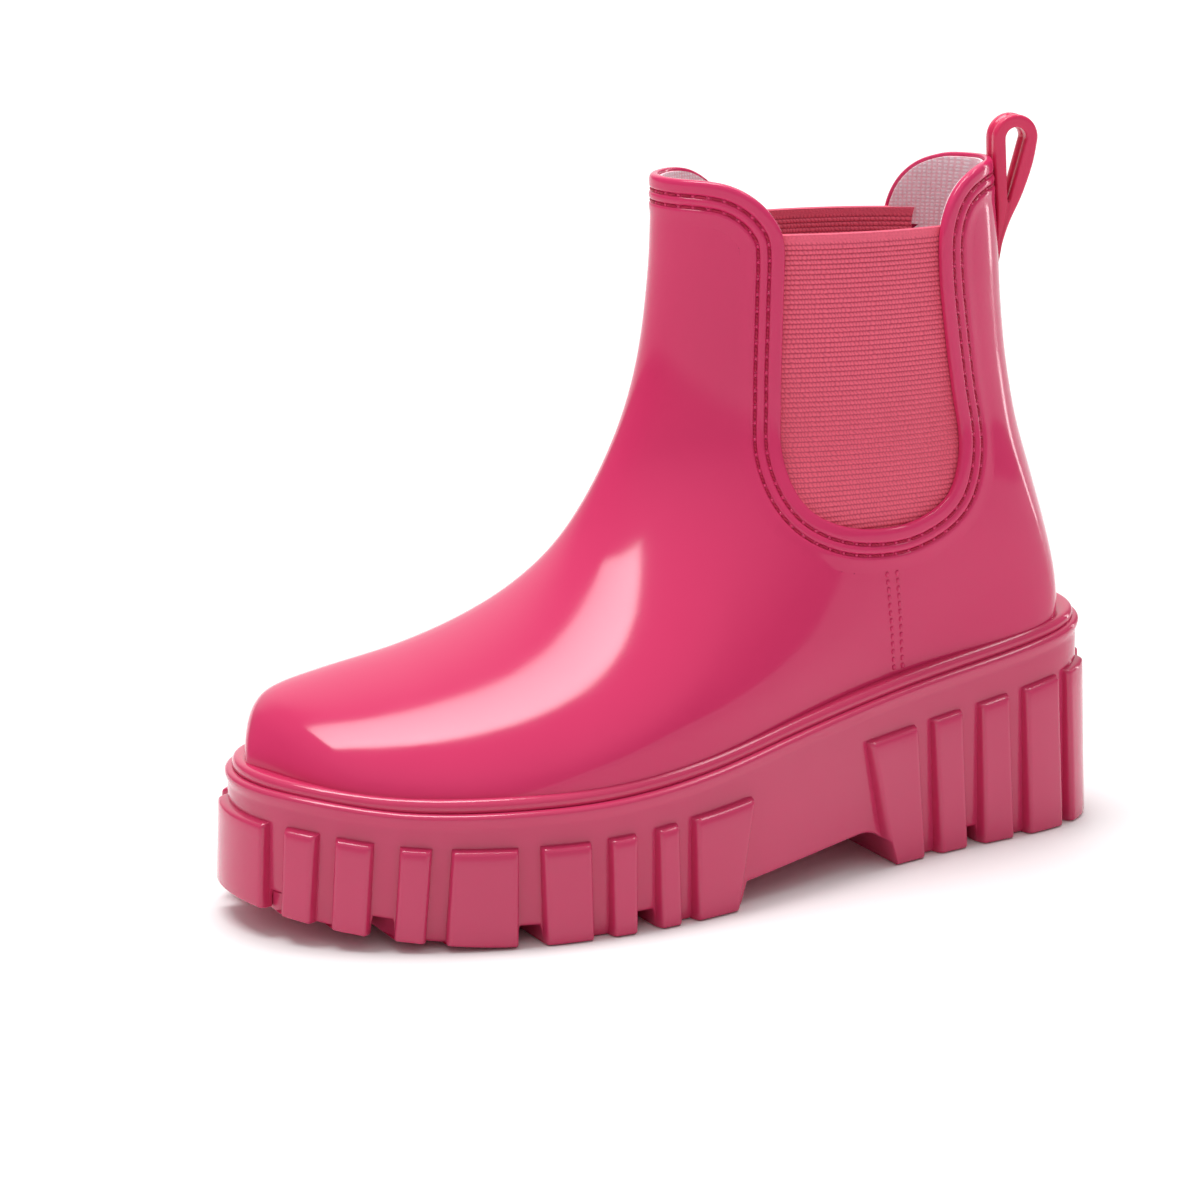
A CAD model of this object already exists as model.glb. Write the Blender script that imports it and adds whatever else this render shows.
"""Looks for the left ankle rain boot: fine meshes, materials, floor, lights and camera.

Everything is laid out in millimetres in the CAD frame and turned to metres when a
mesh is made.  Toe towards -X, heel +X, the wearer's outer side -Y, up +Z.
"""
import math

import bpy
import bmesh
import numpy as np
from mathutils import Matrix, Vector
from mathutils.bvhtree import BVHTree
from mathutils.kdtree import KDTree


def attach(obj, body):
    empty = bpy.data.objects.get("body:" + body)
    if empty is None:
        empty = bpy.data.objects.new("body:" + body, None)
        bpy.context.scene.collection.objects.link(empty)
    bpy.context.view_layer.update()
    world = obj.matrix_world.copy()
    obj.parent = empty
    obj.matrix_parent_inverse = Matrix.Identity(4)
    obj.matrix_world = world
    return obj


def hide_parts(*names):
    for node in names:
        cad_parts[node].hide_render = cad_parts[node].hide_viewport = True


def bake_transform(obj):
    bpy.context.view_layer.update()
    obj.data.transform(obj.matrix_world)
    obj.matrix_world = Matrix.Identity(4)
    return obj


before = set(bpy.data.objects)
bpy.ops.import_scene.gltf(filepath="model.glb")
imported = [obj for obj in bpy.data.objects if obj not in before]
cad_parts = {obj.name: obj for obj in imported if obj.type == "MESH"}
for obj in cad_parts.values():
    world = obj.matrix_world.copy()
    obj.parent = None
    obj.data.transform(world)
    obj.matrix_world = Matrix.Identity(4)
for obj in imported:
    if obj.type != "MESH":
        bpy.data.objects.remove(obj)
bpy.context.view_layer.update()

MM = 0.001
CENTRE_Y = 7.05

# ------------------------------------------------------------- shape of the boot

SOLE_HALF = 140.0
SOLE_WIDTHS = {-1: (74.7, 70.8, 55.6, 48.9, 77.6), 1: (74.7, 62.4, 39.9, 50.1, 77.6)}
FEATHER_HALF = 132.3
FEATHER_WIDTHS = {-1: (65.2, 62.4, 47.7, 38.7, 68.4), 1: (65.2, 53.0, 32.1, 39.3, 68.4)}
SOLE_TOP = [(-150.0, 42.0), (-132.0, 41.6), (-105.0, 38.6), (-75.0, 37.9), (-45.0, 38.3),
            (-15.0, 41.0), (20.0, 46.4), (55.0, 51.0), (90.0, 55.4), (120.0, 59.8),
            (150.0, 64.2)]
FRONT = [(-132.6, 18.0), (-132.6, 34.0), (-131.9, 46.0), (-129.2, 53.4), (-124.7, 59.2),
         (-117.5, 63.2), (-101.0, 66.9), (-80.0, 71.0), (-61.5, 76.4), (-45.6, 83.4),
         (-32.7, 92.2), (-22.9, 102.9), (-14.4, 116.8), (-7.8, 133.1), (-3.6, 150.3),
         (-1.2, 169.7), (-0.3, 187.0), (0.0, 216.0)]
BACK = [(131.5, 18.0), (131.0, 40.0), (130.2, 56.0), (130.3, 64.0), (129.8, 72.0),
        (128.0, 81.2), (124.3, 93.2), (119.0, 108.4), (113.9, 123.5), (110.2, 140.5),
        (107.9, 158.3), (106.8, 172.0), (105.4, 187.0), (103.7, 202.0), (103.0, 216.0)]
SECTIONS = [(18, 18), (34, 38), (44, 54), (51, 61), (57.5, 66), (62.4, 70), (66.2, 74),
            (70.6, 78.5), (76.2, 83.5), (83.2, 89.5), (91.6, 96.5), (101.5, 104.5),
            (114, 114), (129, 126.5), (146, 142), (164, 160), (183, 181), (199, 199),
            (215, 215)]
SHAFT_X = 53.0
SHAFT_Y = 2.8
SHAFT_TWIST = 9.1
SHAFT_HALF_WIDTH = 27.3
WALL = 2.2
# Depth over which the heel's sides round in, and how much of it is skipped at the very back.
HEEL_ROUND = 12.0
HEEL_SKIP = 2.5
# The same depth over the toe and over the vamp.
TOE_CREST = 15.0
VAMP_CREST = 34.0
SHAFT_HALF_DEPTH = 62.0
WINDOW_EDGE = [(-44.0, 200.2), (-37.0, 199.0), (-30.5, 195.6), (-25.3, 190.4), (-22.0, 183.0),
               (-22.0, 165.0), (-22.6, 138.0), (-22.8, 121.0), (-18.0, 108.4),
               (-7.7, 101.8), (6.0, 99.2), (19.0, 100.4), (30.0, 107.0), (34.4, 121.0),
               (32.6, 136.0), (29.8, 154.0), (27.6, 170.0), (27.4, 183.0), (30.6, 192.4),
               (36.4, 198.4), (44.0, 201.4)]
COLLAR_FRONT_Z = 200.4
COLLAR_BACK_Z = 202.0
GORE_TOP = 184.6
RIB_PITCH = 1.42
GORE_MARGIN = 9.0

# Side pads of the tread: angles from toe to heel of the foot's and the top's two ends.
PADS = [(-13.0, 12.8, -13.4, 13.3), (17.2, 24.0, 18.2, 25.6), (27.8, 34.5, 29.0, 35.8),
        (38.5, 43.6, 40.0, 45.0), (46.4, 57.0, 47.8, 57.2), (60.5, 67.2, 60.2, 67.0),
        (69.5, 73.0, 69.5, 73.2), (76.0, 79.2, 76.0, 79.0), (81.2, 87.0, 81.2, 90.2),
        (112.8, 118.5, 108.8, 117.2), (121.0, 126.4, 120.0, 125.4),
        (129.2, 136.0, 128.8, 134.8), (139.2, 149.4, 138.2, 148.0),
        (152.8, 166.0, 151.4, 164.0), (171.5, 188.5, 171.0, 189.0)]
# Gaps after these pads run on across the tread as channels.
CHANNEL_AFTER = (0, 2, 4, 6, 10, 12)
CHANNEL_DEPTH = 5.0
TOE_SPRING = 9.0
TOE_SPRING_START = 62.0

def smooth_line(points, steps):
    """Catmull-Rom line through the points."""
    pts = np.array(points, float)
    padded = np.vstack([pts[:1], pts, pts[-1:]])
    out = []
    for i in range(len(pts) - 1):
        a, b, c, d = padded[i:i + 4]
        u = (np.arange(steps) / steps)[:, None]
        out.append(0.5 * (2 * b + (c - a) * u + (2 * a - 5 * b + 4 * c - d) * u ** 2
                          + (3 * b - a - 3 * c + d) * u ** 3))
    out.append(pts[-1:])
    return np.vstack(out)

FRONT_LINE = smooth_line(FRONT, 12)
BACK_LINE = smooth_line(BACK, 12)
SOLE_TOP_LINE = smooth_line(SOLE_TOP, 12)

def sole_top(x):
    return np.interp(x, SOLE_TOP_LINE[:, 0], SOLE_TOP_LINE[:, 1])

def distance_to(line, x, z):
    """Distance from side-view points to a profile line."""
    best = np.full(x.shape, 1e9)
    for low, high in zip(line[:-1], line[1:]):
        run = high - low
        share = ((x - low[0]) * run[0] + (z - low[1]) * run[1]) / (run @ run)
        share = np.clip(share, 0.0, 1.0)
        far = np.hypot(x - low[0] - share * run[0], z - low[1] - share * run[1])
        best = np.minimum(best, far)
    return best

def ease(start, end, value):
    share = np.clip((value - start) / (end - start), 0.0, 1.0)
    return share * share * (3 - 2 * share)

def rounding(share):
    share = np.clip(share, 0.0, 1.0)
    return np.sqrt(1 - (1 - share) ** 2)

def cosine_terms(widths):
    last = len(widths) - 1
    terms = []
    for k in range(last + 1):
        total = 0.0
        for j in range(last + 1):
            total += (0.5 if j in (0, last) else 1.0) * widths[j] * math.cos(math.pi * k * j / last)
        terms.append(total * (1.0 if k in (0, last) else 2.0) / last)
    return terms

SOLE_TERMS = {side: cosine_terms(w) for side, w in SOLE_WIDTHS.items()}
FEATHER_TERMS = {side: cosine_terms(w) for side, w in FEATHER_WIDTHS.items()}

def cosine_sum(terms, angle):
    return sum(term * np.cos(k * angle) for k, term in enumerate(terms))

def shaft_share(x, z):
    return ease(62.0, 132.0, z - 0.15 * (x - SHAFT_X))

def half_width(x, z, side):
    """Half-width of the upper at side-view places; side is -1 or 1."""
    to_front = distance_to(FRONT_LINE, x, z)
    to_back = distance_to(BACK_LINE, x, z)
    front_x = np.interp(z, FRONT_LINE[:, 1], FRONT_LINE[:, 0])
    back_x = np.interp(z, BACK_LINE[:, 1], BACK_LINE[:, 0])
    plan_x = np.where(x > 0, x * FEATHER_HALF / back_x, x)
    angle = np.arccos(np.clip(-plan_x / FEATHER_HALF, -1.0, 1.0))
    crest = TOE_CREST + (VAMP_CREST - TOE_CREST) * ease(-130.0, -75.0, x)
    foot = cosine_sum(FEATHER_TERMS[side], angle) * np.sin(angle)
    foot = foot * rounding(to_front / crest) * rounding((to_back + HEEL_SKIP) / (HEEL_ROUND + HEEL_SKIP))
    half_depth = np.minimum((back_x - front_x) / 2, SHAFT_HALF_DEPTH)
    shaft = SHAFT_HALF_WIDTH * rounding(np.minimum(to_front, to_back) / half_depth)
    shaft = shaft * (1 + 0.25 * ease(150.0, 80.0, z))
    share = shaft_share(x, z)
    return foot * (1 - share) + shaft * share

def twist_about_shaft(x, y, z):
    share = shaft_share(x, z)
    turn = np.radians(SHAFT_TWIST) * share
    run = x - SHAFT_X
    new_x = SHAFT_X + run * np.cos(turn) + y * np.sin(turn)
    new_y = SHAFT_Y * share - run * np.sin(turn) + y * np.cos(turn) + CENTRE_Y
    return np.stack([new_x, new_y, z + 0 * x], axis=-1)

TURN = math.radians(SHAFT_TWIST)

def own_to_world(x, y, z):
    """From the shaft's own frame to the boot's."""
    return np.stack([SHAFT_X + x * math.cos(TURN) + y * math.sin(TURN),
                     SHAFT_Y + CENTRE_Y - x * math.sin(TURN) + y * math.cos(TURN),
                     z + 0 * x], axis=-1)

def world_to_own(points):
    run_x = points[..., 0] - SHAFT_X
    run_y = points[..., 1] - SHAFT_Y - CENTRE_Y
    return np.stack([run_x * math.cos(TURN) - run_y * math.sin(TURN),
                     run_x * math.sin(TURN) + run_y * math.cos(TURN), points[..., 2]], axis=-1)

def outline(angle, inset, side):
    """Plan points on the sole's outline, angle in degrees from toe to heel."""
    a = np.radians(angle)
    terms = SOLE_TERMS[side]
    width = cosine_sum(terms, a)
    slope = -sum(k * term * np.sin(k * a) for k, term in enumerate(terms))
    run_x = SOLE_HALF * np.sin(a)
    run_y = side * (slope * np.sin(a) + width * np.cos(a))
    length = np.hypot(run_x, run_y)
    normal_x = -side * run_y / length
    normal_y = side * run_x / length
    x = -SOLE_HALF * np.cos(a) - normal_x * inset
    y = side * width * np.sin(a) - normal_y * inset + CENTRE_Y
    return x, y

# ----------------------------------------------------------------- mesh helpers

SHARP_ANGLE = math.radians(48.0)

class Shell:
    """Collects vertices (millimetres) and faces, then becomes one mesh piece."""

    def __init__(self):
        self.points = []
        self.faces = []
        self.count = 0

    def add_points(self, points):
        start = self.count
        points = np.asarray(points, float).reshape(-1, 3)
        self.points.append(points)
        self.count += len(points)
        return start

    def add_grid(self, grid, wrap_rows=False, wrap_columns=False):
        """Quads over a rows x columns x 3 grid; returns its vertex numbers."""
        rows, columns = grid.shape[:2]
        start = self.add_points(grid)
        index = start + np.arange(rows * columns).reshape(rows, columns)
        i = np.arange(rows if wrap_rows else rows - 1)
        j = np.arange(columns if wrap_columns else columns - 1)
        i, j = np.meshgrid(i, j, indexing="ij")
        ni = (i + 1) % rows
        nj = (j + 1) % columns
        quads = np.stack([index[i, j], index[i, nj], index[ni, nj], index[ni, j]], axis=-1)
        self.faces.extend(quads.reshape(-1, 4).tolist())
        return index

    def piece(self, name, material, body, slot, nodes, shells=True):
        mesh = bpy.data.meshes.new(name)
        points = np.vstack(self.points) * MM
        mesh.from_pydata(points.tolist(), [], self.faces)
        bm = bmesh.new()
        bm.from_mesh(mesh)
        loose = [v for v in bm.verts if not v.link_faces]
        bmesh.ops.delete(bm, geom=loose, context="VERTS")
        if shells:
            bmesh.ops.remove_doubles(bm, verts=bm.verts, dist=2e-6)
            bmesh.ops.dissolve_degenerate(bm, edges=bm.edges, dist=2e-6)
        bmesh.ops.recalc_face_normals(bm, faces=bm.faces)
        for face in bm.faces:
            face.smooth = True
        bm.to_mesh(mesh)
        bm.free()
        mesh.set_sharp_from_angle(angle=SHARP_ANGLE)
        obj = bpy.data.objects.new(name, mesh)
        bpy.context.scene.collection.objects.link(obj)
        mesh.materials.append(material)
        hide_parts(*nodes)
        if body:
            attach(obj, body)
        return obj

def soften(grid, passes):
    """A little smoothing of a grid whose columns close on themselves."""
    for _ in range(passes):
        grid = (np.roll(grid, 1, 1) + 2 * grid + np.roll(grid, -1, 1)) / 4
        inner = (grid[:-2] + 2 * grid[1:-1] + grid[2:]) / 4
        grid = np.concatenate([grid[:1], inner, grid[-1:]])
    return grid

def unit(v):
    return v / np.maximum(np.linalg.norm(v, axis=-1, keepdims=True), 1e-12)

def point_tree(points):
    """Search tree that finds the nearest of the points."""
    tree = KDTree(len(points))
    for number, point in enumerate(points):
        tree.insert(point, number)
    tree.balance()
    return tree

def run_length(line):
    """Length along a line at each of its points."""
    return np.concatenate([[0.0], np.cumsum(np.linalg.norm(np.diff(line, axis=0), axis=1))])

def even_line(line, count):
    """The same line as a given number of evenly spaced points."""
    along = run_length(line)
    wanted = np.linspace(0, along[-1], count)
    return np.stack([np.interp(wanted, along, part) for part in line.T], axis=-1)

# --------------------------------------------------------- the upper's base surface

LEVELS = 190
AROUND = 300

def base_grid():
    """Outer surface of the upper as levels x around, before any trimming."""
    spots = np.linspace(0, len(SECTIONS) - 1, LEVELS)
    numbers = np.arange(len(SECTIONS))
    front_z = np.interp(spots, numbers, [s[0] for s in SECTIONS])
    back_z = np.interp(spots, numbers, [s[1] for s in SECTIONS])
    front_x = np.interp(front_z, FRONT_LINE[:, 1], FRONT_LINE[:, 0])
    back_x = np.interp(back_z, BACK_LINE[:, 1], BACK_LINE[:, 0])
    angle = 2 * np.pi * np.arange(AROUND) / AROUND
    share = (1 - np.cos(angle)) / 2
    x = front_x[:, None] + (back_x - front_x)[:, None] * share
    z = front_z[:, None] + (back_z - front_z)[:, None] * share
    half = AROUND // 2
    y = np.zeros_like(x)
    y[:, :half + 1] = -half_width(x[:, :half + 1], z[:, :half + 1], -1)
    y[:, half + 1:] = half_width(x[:, half + 1:], z[:, half + 1:], 1)
    y[:, 0] = 0.0
    y[:, half] = 0.0
    return soften(twist_about_shaft(x, y, z), 2)

BASE = base_grid()
BASE_NORMAL = unit(np.cross(np.roll(BASE, -1, 1) - np.roll(BASE, 1, 1), np.gradient(BASE, axis=0)))

def grid_quads(rows, columns):
    """Corner numbers of a grid that closes on itself along its columns."""
    i, j = np.meshgrid(np.arange(rows - 1), np.arange(columns), indexing="ij")
    nj = (j + 1) % columns
    return np.stack([i * columns + j, i * columns + nj, (i + 1) * columns + nj,
                     (i + 1) * columns + j], axis=-1).reshape(-1, 4)

QUADS = grid_quads(LEVELS, AROUND)
FLAT_BASE = BASE.reshape(-1, 3)
FLAT_NORMAL = BASE_NORMAL.reshape(-1, 3)
TREE = BVHTree.FromPolygons(FLAT_BASE.tolist(), QUADS.tolist())

def normal_at(place, face):
    """Smooth normal of the base surface at a place on one of its faces."""
    corners = QUADS[face]
    far = np.linalg.norm(FLAT_BASE[corners] - np.array(place), axis=1)
    weight = 1 / (far ** 2 + 1e-3)
    return unit((FLAT_NORMAL[corners] * weight[:, None]).sum(0))

def onto_base(points):
    """Nearest places on the base surface, and its normals there."""
    places = np.empty_like(points)
    normals = np.empty_like(points)
    for k, point in enumerate(points):
        place, _, face, _ = TREE.find_nearest(Vector(point))
        places[k] = place
        normals[k] = normal_at(place, face)
    return places, normals

def from_side_view(x, z, side):
    """Base surface seen along the shaft's own Y axis, at own-frame x and z."""
    starts = own_to_world(x, np.full_like(x, 200.0 * side), z)
    aim = Vector((-side * math.sin(TURN), -side * math.cos(TURN), 0))
    places = np.empty_like(starts)
    normals = np.empty_like(starts)
    for k, start in enumerate(starts):
        place, _, face, _ = TREE.ray_cast(Vector(start), aim)
        places[k] = place
        normals[k] = normal_at(place, face)
    return places, normals

# ------------------------------------------------ the edge that the border follows

EDGE_STEP = 0.9

def edge_side(side):
    """The collar and window edge on one side, from front centre to back centre."""
    front_x = np.interp(COLLAR_FRONT_Z, FRONT_LINE[:, 1], FRONT_LINE[:, 0]) - SHAFT_X
    back_x = np.interp(COLLAR_BACK_Z, BACK_LINE[:, 1], BACK_LINE[:, 0]) - SHAFT_X
    t = np.linspace(0, 1, 24)
    first = WINDOW_EDGE[0]
    last = WINDOW_EDGE[-1]
    front = np.stack([front_x + (first[0] - front_x) * t ** 2,
                      COLLAR_FRONT_Z + (first[1] - COLLAR_FRONT_Z) * t], axis=-1)
    back = np.stack([back_x + (last[0] - back_x) * (1 - t) ** 2,
                     last[1] + (COLLAR_BACK_Z - last[1]) * t], axis=-1)
    middle = smooth_line(WINDOW_EDGE, 10)[1:-1]
    low, _ = from_side_view(middle[:, 0], middle[:, 1], side)
    ends = []
    for part in (front, back):
        width = half_width(part[:, 0] + SHAFT_X, part[:, 1], side)
        ends.append(twist_about_shaft(part[:, 0] + SHAFT_X, side * width, part[:, 1]))
    return np.vstack([ends[0], low, ends[1]])

def evenly(points, step, closed):
    """Points about a step apart along a line; a closed one doesn't repeat its start."""
    line = np.vstack([points, points[:1]]) if closed else points
    count = max(int(round(run_length(line)[-1] / step)), 2)
    spaced = even_line(line, count + 1)
    return spaced[:-1] if closed else spaced

edge_points = np.vstack([edge_side(-1)[:-1], edge_side(1)[::-1][:-1]])
edge_points = evenly(edge_points, EDGE_STEP, True)
for _ in range(8):
    edge_points = (np.roll(edge_points, 1, 0) + 2 * edge_points + np.roll(edge_points, -1, 0)) / 4
edge_points = evenly(edge_points, EDGE_STEP, True)
EDGE_COUNT = len(edge_points)
EDGE, EDGE_NORMAL = onto_base(edge_points)
EDGE_ALONG = unit(np.roll(EDGE, -2, 0) - np.roll(EDGE, 2, 0))

def border_rows(distances):
    """Places and normals on the base surface at distances in from the edge."""
    places = [EDGE]
    normals = [EDGE_NORMAL]
    here, normal, reached = EDGE, EDGE_NORMAL, 0.0
    for distance in distances:
        while reached < distance - 1e-9:
            step = min(distance - reached, 0.8)
            inward = unit(np.cross(EDGE_ALONG, normal))
            here, normal = onto_base(here + inward * step)
            reached += step
        if distance > 0:
            places.append(here)
            normals.append(normal)
    return np.stack(places), np.stack(normals)

# Outer side of the border: distance in from the edge, height over the surface.
BORDER_PROFILE = [(0.0, -0.75), (0.16, -0.24), (0.5, 0.12), (1.0, 0.32), (1.8, 0.42), (3.0, 0.40),
                  (3.5, 0.34), (3.8, 0.20), (4.0, -0.05), (4.2, -0.26), (4.5, -0.34),
                  (4.8, -0.26), (5.0, -0.03), (5.2, 0.24), (5.5, 0.40), (6.1, 0.46),
                  (6.7, 0.40), (7.0, 0.24), (7.2, -0.03), (7.4, -0.28), (7.7, -0.36),
                  (8.0, -0.28), (8.2, -0.03), (8.4, 0.24), (8.7, 0.38), (9.2, 0.38),
                  (10.0, 0.28), (11.0, 0.13), (12.0, 0.04), (13.0, 0.0)]
BORDER_D = np.array([d for d, _ in BORDER_PROFILE])
BORDER_H = np.array([h for _, h in BORDER_PROFILE])
BORDER_PLACE, BORDER_NORMAL = border_rows(BORDER_D)

border_tree = point_tree(BORDER_PLACE.reshape(-1, 3))

WINDOW_POLYGON = np.vstack([[(-90.0, COLLAR_FRONT_Z)], smooth_line(WINDOW_EDGE, 6),
                            [(90.0, COLLAR_BACK_Z), (90.0, 400.0), (-90.0, 400.0)]])

def inside_window(x, z):
    """Which own-frame side-view places are cut away above the collar or in the window."""
    inside = np.zeros(x.shape, bool)
    for (ax, az), (bx, bz) in zip(WINDOW_POLYGON, np.roll(WINDOW_POLYGON, -1, 0)):
        crosses = (az > z) != (bz > z)
        with np.errstate(divide="ignore", invalid="ignore"):
            at = ax + (z - az) * (bx - ax) / (bz - az)
        inside ^= crosses & (x < at)
    return inside

def reach_from_edge():
    """For each base vertex, its distance in from the edge, and that edge point."""
    own = world_to_own(FLAT_BASE)
    reach = np.full(len(FLAT_BASE), 99.0)
    edge = np.zeros(len(FLAT_BASE), int)
    near = own[:, 2] > 80.0
    for k in np.flatnonzero(near):
        _, number, far = border_tree.find(FLAT_BASE[k])
        row, column = divmod(number, EDGE_COUNT)
        edge[k] = column
        if far < 3.0:
            reach[k] = BORDER_D[row] + (far if row == len(BORDER_D) - 1 else 0.0)
    reach[near & inside_window(own[:, 0], own[:, 2])] = -1.0
    return reach, edge

REACH, REACH_EDGE = reach_from_edge()

def nearest_on(row, points):
    """Places and normals of a border row nearest to the points."""
    places = evenly(BORDER_PLACE[row], 0.1, True)
    tree = point_tree(places)
    numbers = [tree.find(point)[1] for point in points]
    return onto_base(places[numbers])

def trimmed_shell(shell, below, rows, outer, inner):
    """Adds the base grid inside given border rows as a closed wall between two depths.

    rows holds, for each base vertex, the border row that the wall's open edge is drawn to.
    """
    keep = below & (REACH > BORDER_D[rows] + 0.3)
    quads = QUADS[keep[QUADS].all(axis=1)]
    used = np.unique(quads)
    number = np.full(len(FLAT_BASE), -1)
    number[used] = np.arange(len(used))
    quads = number[quads]
    edges = np.concatenate([quads[:, [k, (k + 1) % 4]] for k in range(4)])
    key = np.sort(edges, axis=1)
    _, first, count = np.unique(key, axis=0, return_index=True, return_counts=True)
    rim = edges[first[count == 1]]
    places = FLAT_BASE[used].copy()
    normals = FLAT_NORMAL[used].copy()
    ends = np.unique(rim)
    ends = ends[REACH[used[ends]] < 90.0]
    for row in np.unique(rows[used[ends]]):
        some = ends[rows[used[ends]] == row]
        places[some], normals[some] = nearest_on(row, places[some])
    top = shell.add_points(places - normals * outer)
    low = shell.add_points(places - normals * inner)
    shell.faces.extend((quads + top).tolist())
    shell.faces.extend((quads[:, ::-1] + low).tolist())
    for a, b in rim:
        shell.faces.append([int(a + top), int(a + low), int(b + low), int(b + top)])

# ------------------------------------------------------------------- materials

def tree_of(name):
    material = bpy.data.materials.new(name)
    material.use_nodes = True
    tree = material.node_tree
    return material, tree, tree.nodes["Principled BSDF"]

def set_all(shader, **values):
    for name, value in values.items():
        shader.inputs[name.replace("_", " ")].default_value = value

def place_node(tree, scale=(1.0, 1.0, 1.0)):
    coordinate = tree.nodes.new("ShaderNodeTexCoord")
    mapping = tree.nodes.new("ShaderNodeMapping")
    mapping.inputs["Scale"].default_value = scale
    tree.links.new(coordinate.outputs["Object"], mapping.inputs["Vector"])
    return mapping.outputs["Vector"]

def noise_node(tree, vector, scale, detail=3.0, rough=0.5):
    noise = tree.nodes.new("ShaderNodeTexNoise")
    noise.inputs["Scale"].default_value = scale
    noise.inputs["Detail"].default_value = detail
    noise.inputs["Roughness"].default_value = rough
    tree.links.new(vector, noise.inputs["Vector"])
    return noise.outputs["Fac"]

def ramp_node(tree, factor, stops):
    ramp = tree.nodes.new("ShaderNodeValToRGB")
    for item, (position, colour) in zip(ramp.color_ramp.elements, stops):
        item.position = position
        item.color = (*colour, 1)
    tree.links.new(factor, ramp.inputs["Fac"])
    return ramp.outputs["Color"]

def range_node(tree, value, low, high, start=0.0, end=1.0, blend="LINEAR"):
    """Turns a value's range from start to end into one from low to high."""
    span = tree.nodes.new("ShaderNodeMapRange")
    span.interpolation_type = blend
    for name, number in (("From Min", start), ("From Max", end), ("To Min", low), ("To Max", high)):
        span.inputs[name].default_value = number
    tree.links.new(value, span.inputs["Value"])
    return span.outputs["Result"]

def bump_node(tree, height, strength, distance, normal=None):
    bump = tree.nodes.new("ShaderNodeBump")
    bump.inputs["Strength"].default_value = strength
    bump.inputs["Distance"].default_value = distance
    tree.links.new(height, bump.inputs["Height"])
    if normal is not None:
        tree.links.new(normal, bump.inputs["Normal"])
    return bump.outputs["Normal"]

def math_node(tree, operation, first, second):
    """Maths on two values; each is a number or another node's output."""
    node = tree.nodes.new("ShaderNodeMath")
    node.operation = operation
    for socket, value in zip(node.inputs, (first, second)):
        if isinstance(value, float):
            socket.default_value = value
        else:
            tree.links.new(value, socket)
    return node.outputs[0]

def moulded_pvc(name, dark, light, rough, skin, ior=1.41, cloud=9.0):
    """Moulded, slightly uneven coloured PVC: clouding, fine skin and soft waviness."""
    material, tree, shader = tree_of(name)
    place = place_node(tree)
    clouds = noise_node(tree, place, cloud, 4.0)
    tree.links.new(ramp_node(tree, clouds, [(0.3, dark), (0.7, light)]), shader.inputs["Base Color"])
    patch = noise_node(tree, place, 60.0, 5.0, 0.6)
    tree.links.new(range_node(tree, patch, rough - 0.04, rough + 0.05), shader.inputs["Roughness"])
    wave = noise_node(tree, place, 38.0, 1.0)
    grain = noise_node(tree, place, 1500.0, 2.0)
    soft = bump_node(tree, wave, 0.10, 0.0004)
    tree.links.new(bump_node(tree, grain, skin, 0.00006, soft), shader.inputs["Normal"])
    set_all(shader, IOR=ior, Specular_IOR_Level=0.5)
    return material

def knitted(name, dark, light, pitch, fuzz):
    """Fine knit: columns of small loops, with fibre fuzz over them."""
    material, tree, shader = tree_of(name)
    place = place_node(tree)
    waves = []
    for direction in ("X", "Z"):
        wave = tree.nodes.new("ShaderNodeTexWave")
        wave.bands_direction = direction
        wave.inputs["Scale"].default_value = 0.314 / pitch
        wave.inputs["Distortion"].default_value = 0.6
        wave.inputs["Detail Scale"].default_value = 300.0
        tree.links.new(place, wave.inputs["Vector"])
        waves.append(wave.outputs["Fac"])
    cell = math_node(tree, "MULTIPLY", *waves)
    fibre = noise_node(tree, place, 900.0, 4.0, 0.7)
    mix = math_node(tree, "ADD", cell, fibre)
    half = range_node(tree, mix, 0.0, 0.75)
    tree.links.new(ramp_node(tree, half, [(0.25, dark), (0.75, light)]), shader.inputs["Base Color"])
    tree.links.new(bump_node(tree, mix, 0.6, 0.0002), shader.inputs["Normal"])
    set_all(shader, Roughness=0.85, Sheen_Weight=fuzz, Sheen_Roughness=0.5, Specular_IOR_Level=0.25)
    return material

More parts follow.
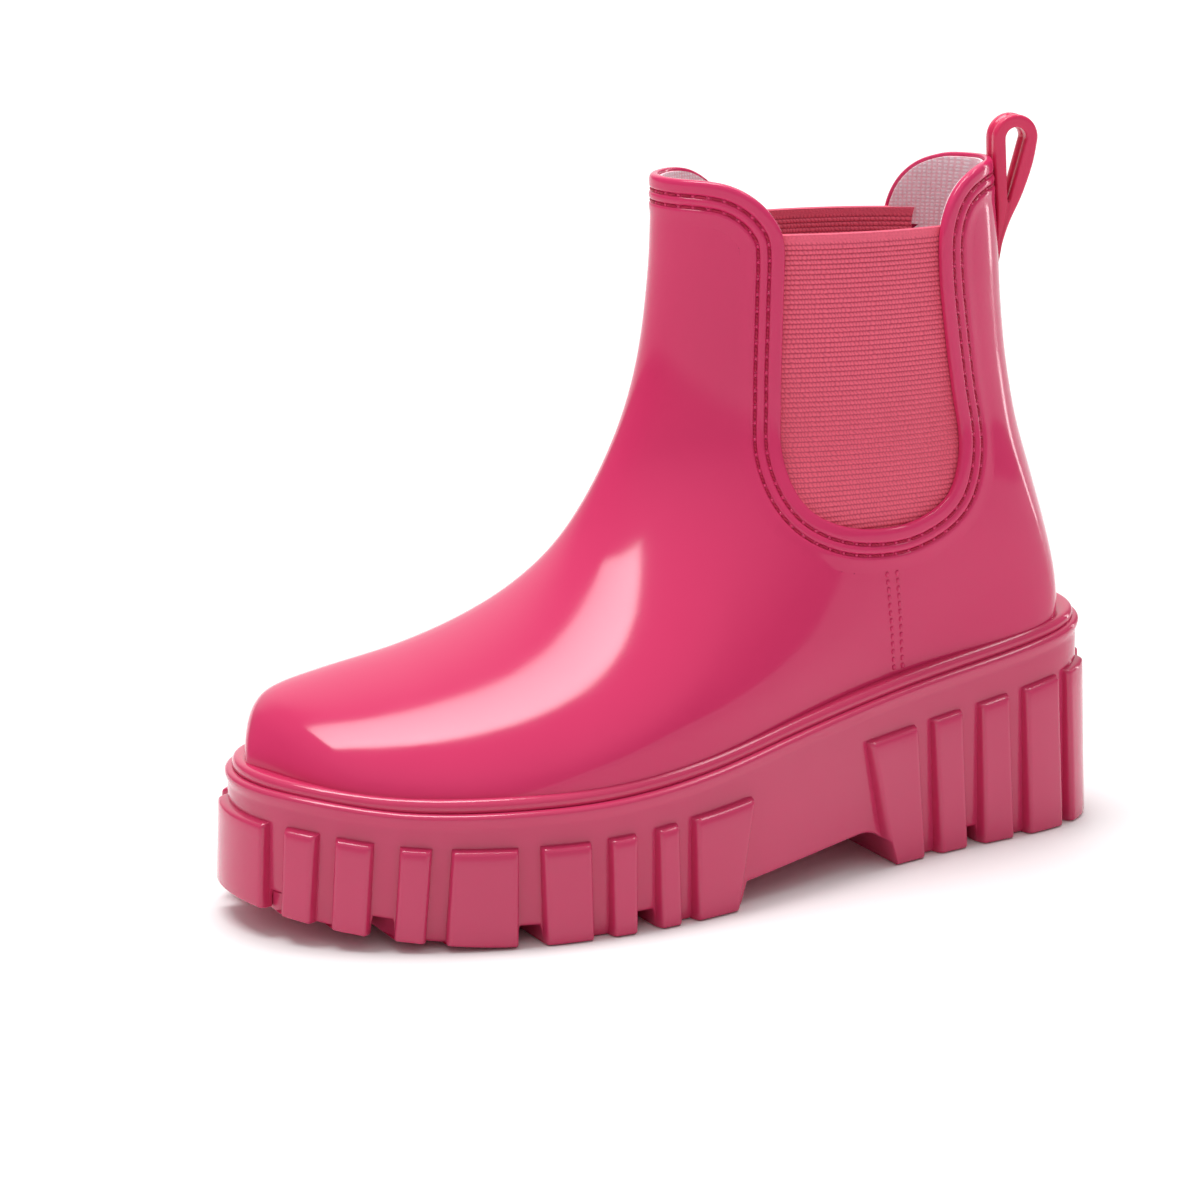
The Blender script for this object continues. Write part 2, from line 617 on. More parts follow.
def elastic_web(name, dark, light, across):
    """Woven elastic: short weft floats, each rib's shifted by half, with loose yarn in them."""
    material, tree, shader = tree_of(name)
    place = place_node(tree)
    parts = tree.nodes.new("ShaderNodeSeparateXYZ")
    tree.links.new(place, parts.inputs[0])
    drift = math_node(tree, "MULTIPLY", noise_node(tree, place, 260.0, 3.0), 0.0030)
    height = math_node(tree, "DIVIDE", parts.outputs["Z"], RIB_PITCH * MM)
    row = math_node(tree, "FLOOR", height, 0.0)
    shift = math_node(tree, "MULTIPLY", row, across * 0.5)
    lean = math_node(tree, "MULTIPLY", parts.outputs["Z"], 0.35)
    slanted = math_node(tree, "ADD", parts.outputs["X"], lean)
    along = math_node(tree, "ADD", math_node(tree, "ADD", slanted, shift), drift)
    turn = math_node(tree, "MULTIPLY", along, math.pi / across)
    floats = math_node(tree, "ABSOLUTE", math_node(tree, "SINE", turn, 0.0), 0.0)
    rise = math_node(tree, "MULTIPLY", height, math.pi)
    ribs = math_node(tree, "ABSOLUTE", math_node(tree, "SINE", rise, 0.0), 0.0)
    yarn = noise_node(tree, place_node(tree, (1.0, 1.0, 3.5)), 1100.0, 4.0, 0.7)
    dashes = range_node(tree, floats, 0.50, 1.0)
    selvedge = range_node(tree, parts.outputs["Z"], 0.0, 0.75,
                          (GORE_TOP - 2.5) * MM, (GORE_TOP - 2.0) * MM)
    woven = math_node(tree, "MULTIPLY", dashes, math_node(tree, "POWER", ribs, 0.5))
    weave = math_node(tree, "MAXIMUM", woven, selvedge)
    total = math_node(tree, "ADD", math_node(tree, "MULTIPLY", weave, 0.7),
                      math_node(tree, "MULTIPLY", yarn, 0.55))
    tree.links.new(ramp_node(tree, total, [(0.20, dark), (0.86, light)]), shader.inputs["Base Color"])
    tree.links.new(bump_node(tree, total, 0.8, 0.0003), shader.inputs["Normal"])
    set_all(shader, Roughness=0.65, Sheen_Weight=0.2, Sheen_Roughness=0.4, Specular_IOR_Level=0.35)
    return material

def thread_material(name, dark, light):
    """Twisted sewing thread: slanted plies and a slight shine."""
    material, tree, shader = tree_of(name)
    place = place_node(tree)
    ply = tree.nodes.new("ShaderNodeTexWave")
    ply.bands_direction = "DIAGONAL"
    ply.inputs["Scale"].default_value = 500.0
    tree.links.new(place, ply.inputs["Vector"])
    tree.links.new(ramp_node(tree, ply.outputs["Fac"], [(0.2, dark), (0.8, light)]),
              shader.inputs["Base Color"])
    tree.links.new(bump_node(tree, ply.outputs["Fac"], 0.5, 0.0001), shader.inputs["Normal"])
    set_all(shader, Roughness=0.5, Specular_IOR_Level=0.2)
    return material

UPPER_PVC = moulded_pvc("upper_pvc", (0.61, 0.028, 0.118), (0.65, 0.034, 0.132), 0.12, 0.03)
SOLE_PVC = moulded_pvc("sole_pvc", (0.54, 0.031, 0.107), (0.59, 0.038, 0.122), 0.16, 0.07, 1.52)
WELT_PVC = moulded_pvc("welt_pvc", (0.58, 0.036, 0.116), (0.63, 0.042, 0.130), 0.13, 0.05, 1.52)
LOOP_PVC = moulded_pvc("loop_pvc", (0.66, 0.026, 0.100), (0.71, 0.032, 0.112), 0.18, 0.05)
KNIT = knitted("lining_knit", (0.92, 0.53, 0.61), (1.0, 0.86, 0.91), 0.0011, 0.3)
ELASTIC = elastic_web("gore_elastic", (0.36, 0.009, 0.044), (0.88, 0.128, 0.210), 0.0011)
THREAD = thread_material("thread", (0.34, 0.008, 0.040), (0.48, 0.018, 0.070))
BOARD = moulded_pvc("board_fibre", (0.45, 0.36, 0.27), (0.60, 0.50, 0.40), 0.75, 0.8, cloud=60.0)

# ----------------------------------------------------------------------- upper

HIDDEN_BELOW = 4.0
below = FLAT_BASE[:, 2] > sole_top(FLAT_BASE[:, 0]) - HIDDEN_BELOW

upper = Shell()
trimmed_shell(upper, below, np.full(len(FLAT_BASE), len(BORDER_D) - 1), 0.0, WALL)
outer_side = BORDER_PLACE + BORDER_NORMAL * BORDER_H[:, None, None]
INNER_PROFILE = [(0, 1.35), (0, 1.75), (1, 2.05), (2, 2.16), (4, 2.2), (10, 2.2), (24, 2.2), (29, 2.1)]
inner_side = np.stack([BORDER_PLACE[row] - BORDER_NORMAL[row] * depth for row, depth in INNER_PROFILE])
ring = np.concatenate([outer_side[::-1], inner_side])
upper.add_grid(ring, wrap_rows=True, wrap_columns=True)

def ellipsoid(shell, centre, along, normal, half, rows=5, around=8):
    """Small rounded bead or stitch: half is its half-length, half-width and half-height."""
    across = unit(np.cross(normal, along))
    start = shell.add_points([centre - along * half[0], centre + along * half[0]])
    for i in range(1, rows):
        bend = math.pi * i / rows
        middle = centre - along * half[0] * math.cos(bend)
        size = math.sin(bend) ** 0.6
        turn = 2 * np.pi * np.arange(around) / around
        rim = (middle + np.outer(np.cos(turn) * half[1] * size, across)
               + np.outer(np.sin(turn) * half[2] * size, normal))
        shell.add_points(rim)
    first = start + 2
    last = first + (rows - 2) * around
    for k in range(around):
        n = (k + 1) % around
        shell.faces.append([start, first + n, first + k])
        shell.faces.append([start + 1, last + k, last + n])
        for r in range(rows - 2):
            a = first + r * around
            shell.faces.append([a + k, a + n, a + around + n, a + around + k])

SEAM_LINES = ([(7.5, 88.0), (9.4, 72.0), (10.9, 55.0)], [(11.0, 88.0), (12.8, 72.0), (14.0, 55.0)])
BEAD_HALF = (0.85, 0.62, 0.55)

def seam_line(points, side):
    """A false seam drawn in the side view, as places on the base surface."""
    line = smooth_line(points, 12)
    places, _ = from_side_view(line[:, 0], line[:, 1], side)
    return onto_base(evenly(places, 2.3, False))

for side in (-1, 1):
    for points in SEAM_LINES:
        places, normals = seam_line(points, side)
        for k in range(1, len(places) - 1):
            ellipsoid(upper, places[k], unit(places[k + 1] - places[k - 1]), normals[k], BEAD_HALF)

# --------------------------------------------------------------------- stitches

STITCH_PITCH = 4.6
STITCH_HALF = (1.62, 0.46, 0.40)
LAND_HALF = (0.50, 0.50, 0.46)
GROOVES = (4.5, 7.7)
SPOT_STEP = 0.25
# No stitches this close to the middle of the pull loop.
LOOP_CLEARANCE = 5.2
BACK_CENTRE = np.array(twist_about_shaft(np.array([104.0]), np.array([0.0]), np.array([195.0]))[0])

def stitch_row(shell, distance, shift, half):
    """Stitches, or the small moulded lands between them, along one groove."""
    row = int(np.argmin(np.abs(BORDER_D - distance)))
    line = BORDER_PLACE[row] + BORDER_NORMAL[row] * (BORDER_H[row] + 0.14)
    spots = evenly(line, SPOT_STEP, True)
    count = int(len(spots) / (STITCH_PITCH / SPOT_STEP))
    tree = point_tree(line)
    for k in range(count):
        at = int((k + shift) * len(spots) / count) % len(spots)
        centre = spots[at]
        if np.linalg.norm(centre[:2] - BACK_CENTRE[:2]) < LOOP_CLEARANCE and centre[2] > 180.0:
            continue
        _, column, _ = tree.find(centre)
        along = unit(spots[(at + 4) % len(spots)] - spots[at - 4])
        ellipsoid(shell, centre, along, BORDER_NORMAL[row, column], half, 7, 8)

for groove in GROOVES:
    stitch_row(upper, groove, 0.5, LAND_HALF)
upper.piece("upper", UPPER_PVC, "boot", "upper_pvc", ["upper_shell"])

stitches = Shell()
for groove in GROOVES:
    stitch_row(stitches, groove, 0.0, STITCH_HALF)
stitches.piece("stitching", THREAD, "boot", "thread",
               ["stitching_lateral_inner", "stitching_lateral_outer",
                "stitching_medial_inner", "stitching_medial_outer"], shells=False)

# ------------------------------------------------------------------------ gores

RIB_HEIGHT = 0.30
GORE_ROWS_PER_RIB = 6
GORE_COLUMNS = 64

def widened_window(margin):
    """The window's edge moved out by a margin."""
    line = smooth_line(WINDOW_EDGE, 8)
    run = unit(np.gradient(line, axis=0))
    return line + np.stack([run[:, 1], -run[:, 0]], axis=-1) * margin

def side_at(line, z):
    """Where one rising side of the widened window is at heights z."""
    line = line[line[:, 1] < 190]
    return np.interp(z, np.maximum.accumulate(line[:, 1]), line[:, 0])

def gore(side, name, node):
    edge = widened_window(GORE_MARGIN - 0.6)
    lowest = int(np.argmin(edge[:, 1]))
    low_z = edge[lowest, 1] + 0.05
    rows = int((GORE_TOP - low_z) / RIB_PITCH * GORE_ROWS_PER_RIB)
    z = np.linspace(low_z, GORE_TOP, rows)
    x_left = side_at(edge[:lowest + 1][::-1], z)
    x_right = side_at(edge[lowest:], z)
    share = np.linspace(0, 1, GORE_COLUMNS)
    x = x_left[:, None] + (x_right - x_left)[:, None] * share
    zz = np.repeat(z[:, None], GORE_COLUMNS, axis=1)
    places, normals = from_side_view(x.ravel(), zz.ravel(), side)
    rib = RIB_HEIGHT * np.abs(np.sin(np.pi * zz / RIB_PITCH)) ** 0.7
    selvedge = ease(3.4, 2.6, GORE_TOP - zz)
    rib = rib * (1 - selvedge) + 0.18 * selvedge
    rib = rib.ravel()[:, None]
    outer = (places - normals * (WALL + 0.32 - rib)).reshape(rows, GORE_COLUMNS, 3)
    inner = (places - normals * (WALL + 1.27 + rib * 0.7)).reshape(rows, GORE_COLUMNS, 3)
    top = (outer[-1:] + inner[-1:]) / 2
    top[..., 2] += 0.35
    shell = Shell()
    ring = np.concatenate([outer, top, inner[::-1]])
    shell.add_grid(ring, wrap_rows=True)
    count = ring.shape[0]
    index = np.arange(count * GORE_COLUMNS).reshape(count, GORE_COLUMNS)
    for column in (0, GORE_COLUMNS - 1):
        for r in range(rows - 1):
            other = count - 1 - r
            shell.faces.append([int(index[r, column]), int(index[r + 1, column]),
                                int(index[other - 1, column]), int(index[other, column])])
        shell.faces.append([int(index[rows - 1, column]), int(index[rows, column]),
                            int(index[rows + 1, column])])
    piece = shell.piece(name, ELASTIC, "boot", "gore_elastic", [node])

gore(-1, "gore_web_lateral", "gore_lateral")
gore(1, "gore_web_medial", "gore_medial")

# ----------------------------------------------------------------------- lining

LINING_OUTER = WALL + 0.15
LINING_INNER = LINING_OUTER + 1.0
lining = Shell()
above_gore = EDGE[:, 2] > GORE_TOP - 5.0
LINING_ROW = np.where(above_gore, 27, 22)
trimmed_shell(lining, below, LINING_ROW[REACH_EDGE], LINING_OUTER, LINING_INNER)
LINING_ROWS = [(25, LINING_OUTER + 0.1), (15, LINING_OUTER), (9, LINING_OUTER), (4, LINING_OUTER),
               (3, LINING_OUTER + 0.12), (3, LINING_OUTER + 0.5), (3, LINING_INNER - 0.12),
               (4, LINING_INNER), (7, LINING_INNER), (9, LINING_INNER), (15, LINING_INNER),
               (25, LINING_INNER - 0.02), (28, LINING_INNER - 0.1)]
strip = np.stack([BORDER_PLACE[row] - BORDER_NORMAL[row] * depth for row, depth in LINING_ROWS])
starts = [j for j in range(EDGE_COUNT) if above_gore[j] and not above_gore[j - 1]]
for begin in starts:
    columns = [begin]
    while above_gore[(columns[-1] + 1) % EDGE_COUNT]:
        columns.append((columns[-1] + 1) % EDGE_COUNT)
    part = strip[:, columns]
    index = lining.add_grid(part, wrap_rows=True)
    lining.faces.append([int(v) for v in index[:, 0]])
    lining.faces.append([int(v) for v in index[::-1, -1]])

def both_sides(angle, inset):
    """The lateral and the medial line inside the sole's outline, at height 0."""
    return [np.stack([*outline(angle, inset, side), 0 * angle], axis=-1) for side in (-1, 1)]

def across_sole(shell, angle, inset, low_rise, high_rise):
    """Closed slab inside the sole's outline, between two heights over its top."""
    lateral, medial = both_sides(angle, inset)
    share = np.linspace(0, 1, 9)[:, None, None]
    plan = lateral * (1 - share) + medial * share
    low = plan.copy()
    high = plan.copy()
    low[..., 2] = sole_top(plan[..., 0]) + low_rise
    high[..., 2] = sole_top(plan[..., 0]) + high_rise
    shell.add_grid(np.concatenate([low, high[::-1]]), wrap_rows=True)

DEGREES = np.linspace(0.0, 180.0, 121)
SOCK_INSET = 10.9 + 3.6 * ease(135.0, 165.0, DEGREES)
across_sole(lining, DEGREES, SOCK_INSET, 3.7, 4.7)
knit = lining.piece("lining", KNIT, "boot", "lining_knit", ["knit_lining"])

# ---------------------------------------------------------------------- footbed

FOOTBED_INSET = 18.0
FOOTBED_LOW = 5.2
FOOTBED_HIGH = 10.0

def footbed():
    """Cushioned insole: a crowned sock over foam, its edge rolled all round."""
    lateral, medial = both_sides(DEGREES, FOOTBED_INSET)
    share = (1 - np.cos(np.linspace(0, np.pi, 41))) / 2
    plan = lateral + (medial - lateral) * share[:, None, None]
    half = np.linalg.norm(medial - lateral, axis=-1) / 2
    from_side = np.minimum(share, 1 - share)[:, None] * 2 * half
    along = plan[..., 0]
    to_end = np.minimum(along - along.min(), along.max() - along)
    edge = np.minimum(from_side, to_end)
    base = sole_top(along)
    high = plan.copy()
    low = plan.copy()
    cup = 0.5 * ease(9.0, 2.0, edge) * ease(20.0, 70.0, along)
    dish = 0.5 * ease(30.0, 5.0, edge)
    crown = (FOOTBED_HIGH - FOOTBED_LOW - 0.9) * rounding(edge / 2.4)
    high[..., 2] = base + FOOTBED_LOW + crown + cup + dish
    low[..., 2] = base + FOOTBED_LOW + 0.25 * (1 - rounding(edge / 1.0))
    shell = Shell()
    shell.add_grid(np.concatenate([low, high[::-1]]), wrap_rows=True)
    return shell.piece("footbed", KNIT, "footbed", "footbed_cover", ["footbed_foam", "footbed_cover"])

footbed_piece = footbed()

# ------------------------------------------------------------------------- sole

PAD_ROUND = 1.3
FOOT_ROUND = 1.0
RIM_DEPTH = 5.4
PAD_DROP = 9.0
PAD_DROP_GROWTH = 4.0
WALL_INSET = 3.6
WALL_LEAN = 76.0
PAD_INSET = 2.0
PAD_HEIGHT = 51.0
# Stand-in distance for columns well inside a pad or a gap.
FAR_INSIDE = 9.0
COLUMN_SPACING = 2.4
# The arch, between these angles, has closer columns.
ARCH_ANGLES = (86.0, 114.0)
ARCH_SPACING = 1.0
PAD_EDGE_STEPS = (-1.5, -0.6, -0.15, 0.0, 0.12, 0.35, 0.7, 1.2, 2.0)

def pad_top(x):
    """Height of the pads' tops, lower under the sole's edge towards the heel."""
    return sole_top(x) - PAD_DROP - PAD_DROP_GROWTH * (x + SOLE_HALF) / (2 * SOLE_HALF)

def mm_per_degree(angle):
    x, y = outline(np.array([angle - 0.5, angle + 0.5]), 0.0, -1)
    return math.hypot(x[1] - x[0], y[1] - y[0])

def sole_columns():
    """Angle at the foot and at the top, distance into a pad, and number of the gap or -1."""
    columns = []
    last_pad = len(PADS) - 1
    for number, (foot_a, foot_b, top_a, top_b) in enumerate(PADS):
        if number > 0:
            scale = mm_per_degree(foot_a)
            for step in PAD_EDGE_STEPS:
                shift = step / scale
                columns.append((foot_a + shift, top_a + shift, step, number - 1))
        if number < last_pad:
            scale = mm_per_degree(foot_b)
            for step in PAD_EDGE_STEPS[::-1]:
                shift = -step / scale
                columns.append((foot_b + shift, top_b + shift, step, number))
    columns = [(0.0, 0.0, FAR_INSIDE, -1)] + columns + [(180.0, 180.0, FAR_INSIDE, -1)]
    columns.sort(key=lambda c: c[0] + c[1])
    filled = [columns[0]]
    for nxt in columns[1:]:
        before = filled[-1]
        gap = (nxt[0] + nxt[1] - before[0] - before[1]) / 2
        width = gap * mm_per_degree(nxt[0])
        arch = before[0] > ARCH_ANGLES[0] and nxt[0] < ARCH_ANGLES[1]
        extra = int(width / (ARCH_SPACING if arch else COLUMN_SPACING))
        for k in range(1, extra + 1):
            t = k / (extra + 1)
            inside = FAR_INSIDE if before[2] > 0 and nxt[2] > 0 else -FAR_INSIDE
            filled.append((before[0] + (nxt[0] - before[0]) * t, before[1] + (nxt[1] - before[1]) * t,
                           inside, before[3]))
        filled.append(nxt)
    return filled

ARCH_TOE_X = -3.9
ARCH_HEEL_X = 53.8
ARCH_HEIGHT = 11.0
ARCH_CURVE = [(-400.0, 0.0), (ARCH_TOE_X + 0.6, 0.0), (ARCH_TOE_X + 0.9, 0.3), (ARCH_TOE_X + 1.6, 5.6),
              (ARCH_TOE_X + 2.4, 6.5), (ARCH_HEEL_X - 10.0, ARCH_HEIGHT),
              (ARCH_HEEL_X - 7.0, 10.8), (ARCH_HEEL_X - 4.2, 9.8), (ARCH_HEEL_X - 1.6, 8.0),
              (ARCH_HEEL_X, 6.0), (ARCH_HEEL_X + 0.9, 0.4), (ARCH_HEEL_X + 1.2, 0.0), (400.0, 0.0)]
ARCH_X = [p[0] for p in ARCH_CURVE]
ARCH_Z = [p[1] for p in ARCH_CURVE]

def tread_height(x):
    """Height of the tread over the ground: toe spring and arch."""
    spring = TOE_SPRING * np.maximum(0.0, -x - TOE_SPRING_START) ** 2
    spring = spring / (SOLE_HALF - TOE_SPRING_START) ** 2
    return spring + np.interp(x, ARCH_X, ARCH_Z)

# Rim of the sole: drop below the top edge and distance out from the wall.
LIP_PROFILE = [(4.5, 0.04), (3.8, 0.20), (3.1, 0.44), (2.5, 0.65), (1.9, 0.80), (1.4, 0.86), (1.0, 0.79),
               (0.65, 0.58), (0.36, 0.28), (0.15, -0.10), (0.03, -0.55), (0.0, -1.00), (0.05, -1.45),
               (0.18, -1.9), (0.34, -2.5), (0.9, -3.0), (0.9, -6.0)]

COLUMNS = sole_columns()
FOOT_ANGLE = np.array([c[0] for c in COLUMNS])
TOP_ANGLE = np.array([c[1] for c in COLUMNS])
INTO_PAD = np.array([c[2] for c in COLUMNS])
IN_CHANNEL = np.array([c[3] in CHANNEL_AFTER and c[2] <= 0 for c in COLUMNS])

def slanted_angle(z, top):
    return np.clip(FOOT_ANGLE + (TOP_ANGLE - FOOT_ANGLE) * np.clip((z + 5.0) / (top + 5.0), 0, 1), 0, 180)

def column_bottoms(top):
    low = np.full(len(COLUMNS), -1.0)
    high = np.full(len(COLUMNS), 20.0)
    for _ in range(40):
        middle = (low + high) / 2
        x = -SOLE_HALF * np.cos(np.radians(slanted_angle(middle, top)))
        above = middle >= tread_height(x)
        high = np.where(above, middle, high)
        low = np.where(above, low, middle)
    return high

def wall_inset(z):
    """How far the plain wall stands in from the outline; it leans in as it rises."""
    return WALL_INSET + (z + 1.0) / WALL_LEAN

def sole_wall(side):
    """One side of the sole from the tread's edge up and over the lip, rows x columns."""
    middle_x = -SOLE_HALF * np.cos(np.radians((FOOT_ANGLE + TOP_ANGLE) / 2))
    top = pad_top(middle_x)
    bottom = column_bottoms(top)
    bottom = bottom + CHANNEL_DEPTH * IN_CHANNEL * rounding(-INTO_PAD / 0.7)
    crest = sole_top(middle_x)
    foot = bottom + FOOT_ROUND
    rows = [bottom, bottom + 0.12, bottom + 0.45, foot]
    for share in np.linspace(0, 1, 9)[1:]:
        rows.append(foot + (top - PAD_ROUND - bottom - FOOT_ROUND) * share)
    rows += [top - 0.75, top - 0.35, top - 0.1, top, top + 0.15, top + 0.8]
    rows += [(top + crest - RIM_DEPTH) / 2, crest - RIM_DEPTH]
    points = []
    for number, z in enumerate(rows):
        angle = slanted_angle(z, top)
        proud = PAD_INSET * (z + 1.0) / PAD_HEIGHT
        share = rounding(INTO_PAD / PAD_ROUND) * rounding((top - z) / PAD_ROUND)
        inset = wall_inset(z) * (1 - share) + proud * share
        if number < 4:
            inset = inset + FOOT_ROUND * (1 - rounding((z - bottom) / FOOT_ROUND))
        x, y = outline(angle, inset, side)
        points.append(np.stack([x, y, z], axis=-1))
    angle = TOP_ANGLE
    crest = sole_top(-SOLE_HALF * np.cos(np.radians(angle)))
    wall = wall_inset(crest)
    for drop, out in LIP_PROFILE:
        x, y = outline(angle, wall - out, side)
        points.append(np.stack([x, y, crest - drop], axis=-1))
    return np.stack(points)

def sole():
    shell = Shell()
    lateral = sole_wall(-1)
    medial = sole_wall(1)
    bridge = np.linspace(0, 1, 14)[1:-1, None, None]
    under = medial[0] * (1 - bridge) + lateral[0] * bridge
    # Away from its rims the tread never doubles back on itself near the toe and heel.
    along = under[..., 0]
    from_toe = np.maximum.accumulate(along, axis=1)
    from_heel = np.minimum.accumulate(along[:, ::-1], axis=1)[:, ::-1]
    under[..., 0] = np.where(along < 0, from_heel, from_toe)
    over = lateral[-1] * (1 - bridge) + medial[-1] * bridge
    ring = np.concatenate([lateral, over, medial[::-1], under])
    shell.add_grid(ring, wrap_rows=True)
    shell.piece("sole", SOLE_PVC, "boot", "sole_pvc", ["outsole"])

sole()

# ------------------------------------------------------------------------- welt

WELT_PROFILE = [(11.5, -0.6), (6.4, -0.6), (6.0, -0.3), (5.7, 0.15), (5.5, 0.7), (5.45, 1.3),
                (5.5, 1.9), (5.7, 2.5), (6.05, 3.0), (6.6, 3.4), (7.2, 3.55), (7.8, 3.58),
                (8.4, 3.56), (9.2, 3.5), (11.5, 3.4)]

def welt():
    shell = Shell()
    rows = []
    angle = np.linspace(0, 180, 241)
    for inset, rise in WELT_PROFILE:
        loop = []
        for side, turn in ((-1, angle[:-1]), (1, angle[::-1][:-1])):
            x, y = outline(turn, inset, side)
            loop.append(np.stack([x, y, sole_top(x) + rise], axis=-1))
        rows.append(np.vstack(loop))
    shell.add_grid(np.stack(rows), wrap_rows=True, wrap_columns=True)
    shell.piece("welt", WELT_PVC, "boot", "welt_pvc", ["welt_strip"])

welt()

# -------------------------------------------------------------------- pull loop

HEAD = (58.4, 206.6)
HEAD_OUTER = 7.0
HEAD_HOLE = 3.3
HOLE_FOOT = 188.6

def arc(centre, radius, start, end, count):
    turn = np.radians(np.linspace(start, end, count))
    return [(centre[0] + radius * math.cos(t), centre[1] + radius * math.sin(t)) for t in turn]

def closed_offset(line, distance):
    run = np.roll(line, -1, 0) - np.roll(line, 1, 0)
    run /= np.maximum(np.linalg.norm(run, axis=1), 1e-9)[:, None]
    return line + np.stack([-run[:, 1], run[:, 0]], axis=-1) * distance

def pull_loop():
    """Moulded teardrop ring with a groove round its rim and a tab that runs into the heel."""
    heel_side = smooth_line([(53.4, 164.0), (54.2, 170.0), (55.5, 176.6), (57.4, 182.6), (60.9, 190.0),
                             (64.0, 199.0), (HEAD[0] + HEAD_OUTER, HEAD[1])], 8)[:-1].tolist()
    collar_side = smooth_line([(HEAD[0] - HEAD_OUTER, HEAD[1]), (51.7, 200.0), (52.9, 187.0),
                               (53.2, 176.0), (52.6, 164.0)], 8)[1:].tolist()
    outer = heel_side + arc(HEAD, HEAD_OUTER, 0, 180, 25) + collar_side
    right = even_line(np.array([(56.75, HOLE_FOOT), (HEAD[0] + HEAD_HOLE, HEAD[1])]), 14)
    left = even_line(np.array([(HEAD[0] - HEAD_HOLE, HEAD[1]), (56.15, HOLE_FOOT)]), 14)
    hole = np.vstack([right[:-1], arc(HEAD, HEAD_HOLE, 0, 180, 15), left[1:]])
    count = 96
    tail = 14
    outer = even_line(np.array(outer), count + 2 * tail)
    hole_line = even_line(hole, count)
    tip = np.array([(56.45, 188.2)])
    hole = np.vstack([np.repeat(tip, tail, 0), hole_line, np.repeat(tip, tail, 0)])
    spread = np.linspace(-0.2, 0.0, tail)[:, None]
    hole[:tail] += spread * np.array([[-1.0, 0.6]])
    hole[-tail:] += spread[::-1] * np.array([[1.0, 0.6]])
    layers = [(-3.55, 0.9), (-3.45, 0.45), (-3.2, 0.15), (-2.8, 0.0), (-1.5, 0.0), (-0.95, 0.12),
              (-0.55, 0.5), (0.0, 0.72), (0.55, 0.5), (0.95, 0.12), (1.5, 0.0), (2.8, 0.0),
              (3.2, 0.15), (3.45, 0.45), (3.55, 0.9)]
    fade = ease(164.0, 176.0, outer[:, 1])[:, None]
    slim = 1.0 - 0.5 * ease(186.0, 164.0, outer[:, 1])
    outside = []
    inside = []
    for y, cut in layers:
        rim = closed_offset(outer, 1.0) - outer
        moved = outer + rim * cut * fade
        outside.append(own_to_world(moved[:, 0], y * slim, moved[:, 1]))
        rim = closed_offset(hole, -1.0) - hole
        moved = hole + rim * cut * 0.6
        inside.append(own_to_world(moved[:, 0], np.full(len(moved), y), moved[:, 1]))
    shell = Shell()
    shell.add_grid(np.stack(outside + inside[::-1]), wrap_rows=True, wrap_columns=True)
    return shell.piece("pull_loop_ring", LOOP_PVC, None, "loop_pvc", ["pull_loop"])

loop_piece = pull_loop()
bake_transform(loop_piece)

board = bpy.data.objects.get("insole_board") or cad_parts["insole_board"]
for place in board.material_slots:
    place.material = BOARD

# ----------------------------------------------------------- floor, lights, camera

FLOOR_SIZE = 6.0

def floor_paper():
    """Plain white studio paper, lit a little more towards its far edges."""
    material, tree, shader = tree_of("floor_paper")
    place = place_node(tree)
    cloud = noise_node(tree, place, 3.0)
    tree.links.new(range_node(tree, cloud, 0.57, 0.63), shader.inputs["Roughness"])
    shader.inputs["Base Color"].default_value = (0.93, 0.93, 0.93, 1)
    shader.inputs["Emission Color"].default_value = (1.0, 1.0, 1.0, 1)
    reach = tree.nodes.new("ShaderNodeVectorMath")
    reach.operation = "LENGTH"
    tree.links.new(place, reach.inputs[0])
    glow = range_node(tree, reach.outputs["Value"], 0.0, 0.50, 0.25, 2.6, "SMOOTHSTEP")
    tree.links.new(glow, shader.inputs["Emission Strength"])
    return material

def floor_piece():
    mesh = bpy.data.meshes.new("floor")
    size = FLOOR_SIZE
    mesh.from_pydata([(-size, -size, 0), (size, -size, 0), (size, size, 0), (-size, size, 0)], [],
                     [(0, 1, 2, 3)])
    obj = bpy.data.objects.new("floor", mesh)
    bpy.context.scene.collection.objects.link(obj)
    mesh.materials.append(floor_paper())
    obj.location.z = -0.0002

def area_light(name, place, aim, size, power):
    data = bpy.data.lights.new(name, "AREA")
    data.shape = "RECTANGLE"
    data.size, data.size_y = size
    data.energy = power
    obj = bpy.data.objects.new(name, data)
    obj.location = place
    obj.rotation_euler = (Vector(aim) - Vector(place)).to_track_quat("-Z", "Y").to_euler()
    bpy.context.scene.collection.objects.link(obj)
    return data

def fade_across(light, near, far):
    """A softbox brighter along its near edge than along its far one."""
    light.use_nodes = True
    tree = light.node_tree
    parts = tree.nodes.new("ShaderNodeSeparateXYZ")
    tree.links.new(tree.nodes.new("ShaderNodeNewGeometry").outputs["Parametric"], parts.inputs[0])
    fade = range_node(tree, parts.outputs["Y"], near, far)
    tree.links.new(fade, tree.nodes["Emission"].inputs["Strength"])

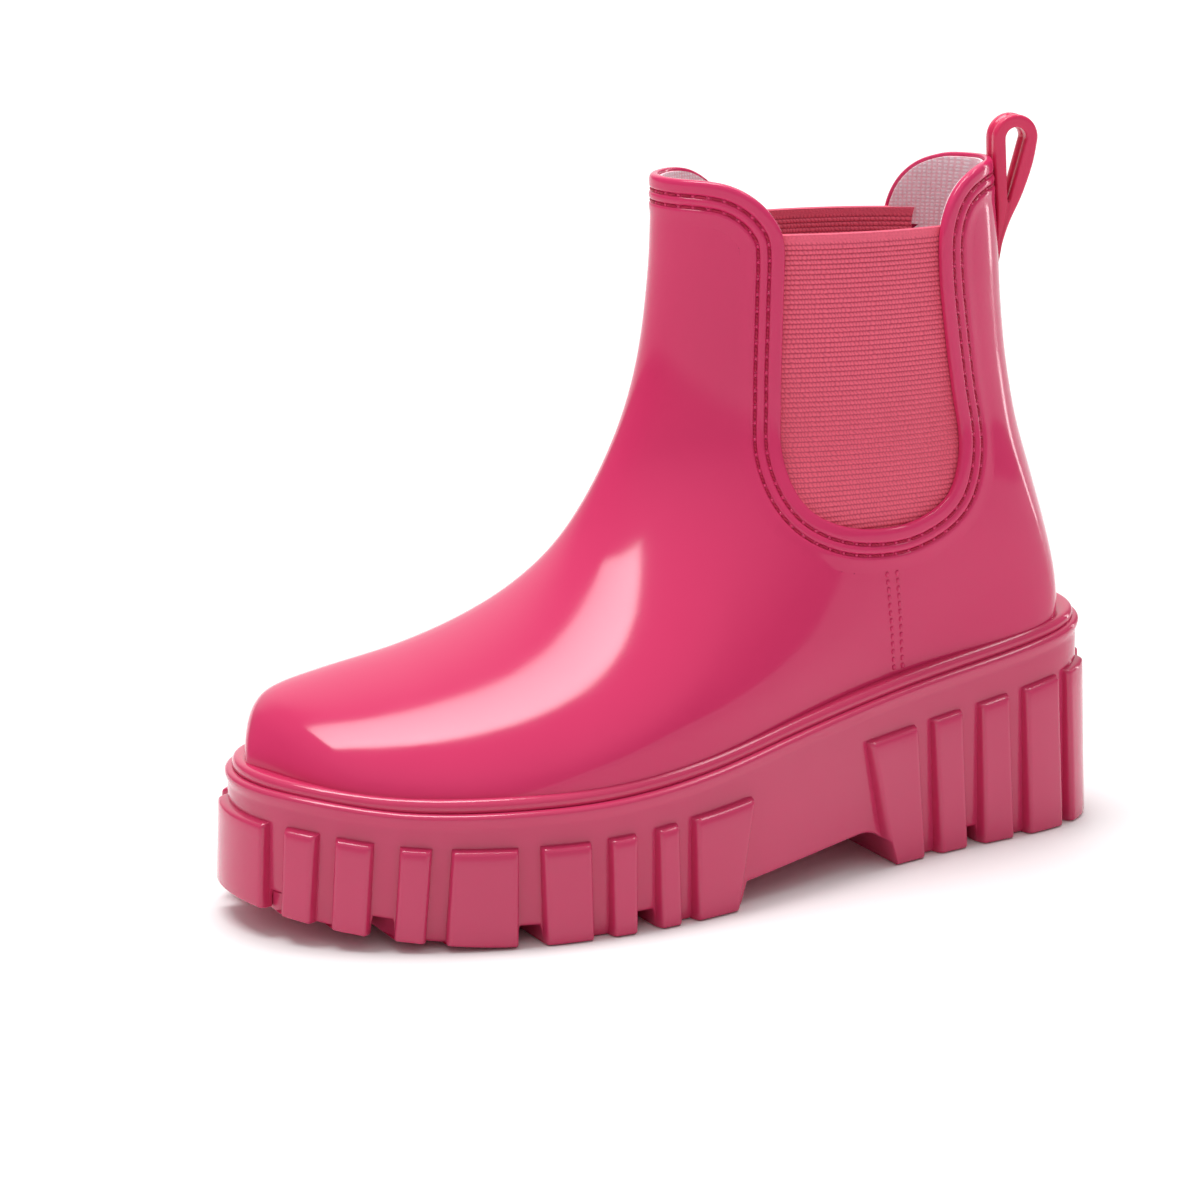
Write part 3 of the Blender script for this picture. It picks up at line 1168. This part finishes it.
def studio_dome():
    """Soft surround: dim at the horizon, brighter overhead, white beyond the floor's far edge."""
    world = bpy.data.worlds.new("studio")
    world.use_nodes = True
    tree = world.node_tree
    direction = tree.nodes.new("ShaderNodeTexCoord").outputs["Generated"]
    total = DOME_LOW
    for aim, start, end, strength in DOME_GLOWS:
        dot = tree.nodes.new("ShaderNodeVectorMath")
        dot.operation = "DOT_PRODUCT"
        dot.inputs[1].default_value = Vector(aim).normalized()
        tree.links.new(direction, dot.inputs[0])
        glow = range_node(tree, dot.outputs["Value"], 0.0, strength, start, end, "SMOOTHERSTEP")
        total = math_node(tree, "ADD", total, glow)
    background = tree.nodes["Background"]
    background.inputs["Color"].default_value = (1.0, 1.0, 1.0, 1)
    tree.links.new(total, background.inputs["Strength"])
    bpy.context.scene.world = world

# Radiance at the horizon; then glows: middle direction, cosine where it starts and ends, radiance.
DOME_LOW = 0.24
DOME_GLOWS = [((0.0, 0.0, 1.0), 0.15, 0.95, 0.30), ((-0.40, -0.80, 0.50), 0.10, 1.0, 0.18),
              ((0.30, 0.80, 0.50), 0.70, 1.0, 0.80), ((0.0, 0.0, -1.0), -0.06, -0.02, 0.80)]

floor_piece()
softbox = area_light("overhead_softbox", (-0.26, 0.29, 1.70), (-0.26, 0.29, 0.0), (1.25, 0.58), 28.5)
fade_across(softbox, 1.15, 0.60)
area_light("rear_strip", (0.80, 0.05, 1.50), (0.0, 0.0, 0.1), (1.15, 0.20), 4.2)
area_light("right_strip", (1.25, 0.14, 0.36), (0.08, 0.0, 0.15), (0.09, 0.7), 1.3)
studio_dome()
bpy.context.scene.view_settings.view_transform = "Standard"

camera_data = bpy.data.cameras.new("camera")
camera_data.sensor_width = 36.0
camera_data.lens = 119.14
camera = bpy.data.objects.new("camera", camera_data)
camera.location = (-0.52855, -0.98287, 0.36082)
aim = Vector((-0.0222, 0.00705, 0.0799))
camera.rotation_euler = (aim - camera.location).to_track_quat("-Z", "Y").to_euler()
bpy.context.scene.collection.objects.link(camera)
bpy.context.scene.camera = camera
